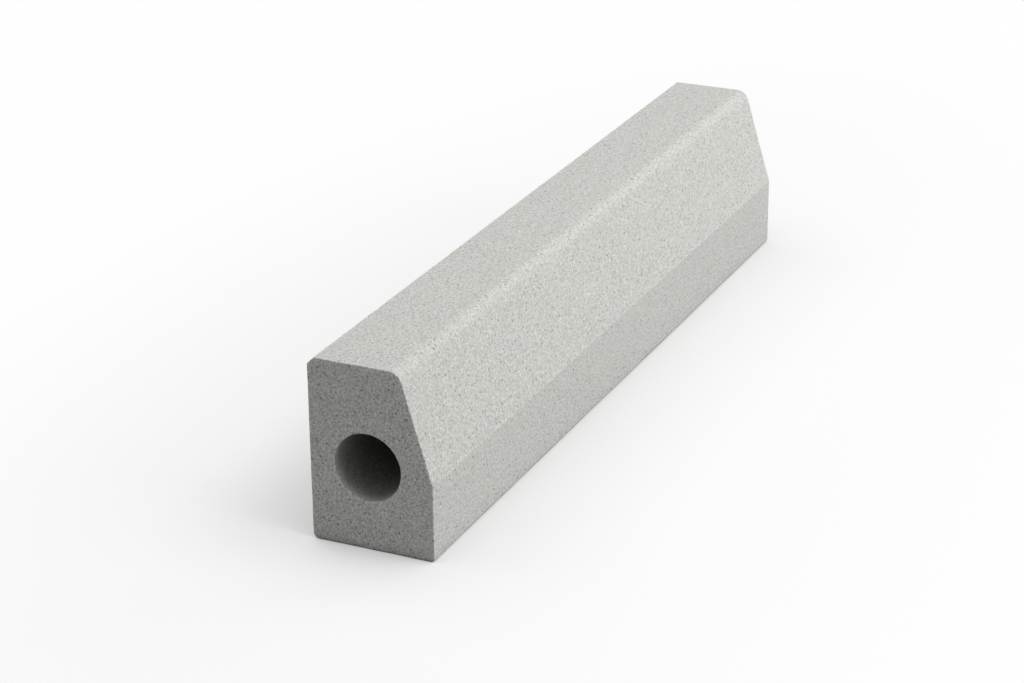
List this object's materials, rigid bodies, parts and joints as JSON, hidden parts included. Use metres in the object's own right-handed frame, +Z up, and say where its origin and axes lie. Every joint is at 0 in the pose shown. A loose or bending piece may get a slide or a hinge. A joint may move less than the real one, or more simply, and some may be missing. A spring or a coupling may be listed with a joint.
{
  "type": "concrete kerb stone",
  "caption": "Straight precast concrete kerb with an upright foot, a battered face, a rounded nose and a round core hole from end to end, for edging a road or path.",
  "frame": {"origin": "middle of the kerb's base, on the floor it stands on", "axes": "+X along the kerb, +Y from the battered road face to the flat back, +Z up"},
  "size_m": [1, 0.14, 0.205],
  "materials": {
    "concrete": "matte"
  },
  "bodies": {
    "root": {"kerb_stone": "concrete"}
  },
  "joints": []
}
